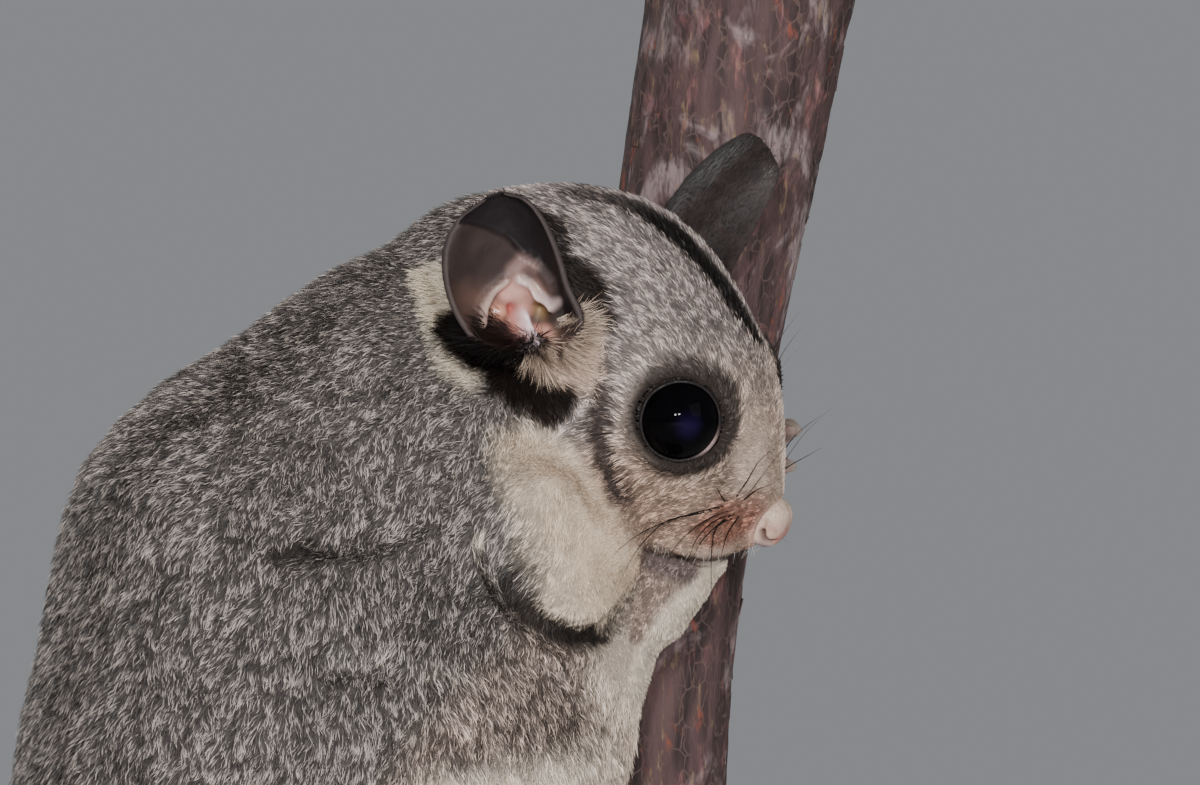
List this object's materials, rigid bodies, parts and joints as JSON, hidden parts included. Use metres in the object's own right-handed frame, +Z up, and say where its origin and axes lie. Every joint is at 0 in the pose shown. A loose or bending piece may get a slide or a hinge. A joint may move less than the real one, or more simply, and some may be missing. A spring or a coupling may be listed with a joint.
{
  "type": "sugar glider display model",
  "caption": "Life-size still model of a sugar glider that clings to a cut length of trunk, its head turned to one side, on a round display stand.",
  "frame": {"origin": "middle of the round base's underside, where the stand meets the surface that it rests on", "axes": "+Z up along the perch; +X towards the side that the muzzle points to; +Y away from the viewer, who looks at the animal's right side"},
  "size_m": [0.132, 0.132, 0.276],
  "materials": {
    "grey_coat": "short dense grey fur with pale tips",
    "head_coat": "short pale grey fur with dark stripe and eye rings",
    "membrane_coat": "short dark grey fur",
    "tail_coat": "long soft dark grey fur",
    "ear_skin": "thin bare skin, pink inside and dark at the edge",
    "paw_skin": "bare pink skin",
    "nose_skin": "moist pink skin",
    "eye_black": "wet black gloss",
    "bark": "rough brown bark with pale flakes",
    "base_wood": "dark satin wood",
    "rod_steel": "brushed"
  },
  "bodies": {
    "root": {"head": "head_coat", "nose": "nose_skin", "eye_right": "eye_black", "eye_left": "eye_black", "ear_right": "ear_skin", "ear_left": "ear_skin", "neck": "grey_coat", "torso": "grey_coat", "arm_right": "grey_coat", "arm_left": "grey_coat", "leg_right": "grey_coat", "leg_left": "grey_coat", "hand_right": "paw_skin", "hand_left": "paw_skin", "foot_right": "paw_skin", "foot_left": "paw_skin", "membrane_right": "membrane_coat", "membrane_left": "membrane_coat", "tail_1": "tail_coat", "tail_2": "tail_coat", "tail_3": "tail_coat", "tail_4": "tail_coat", "perch": "bark", "stand_base": "base_wood", "stand_rod": "rod_steel"}
  },
  "joints": []
}
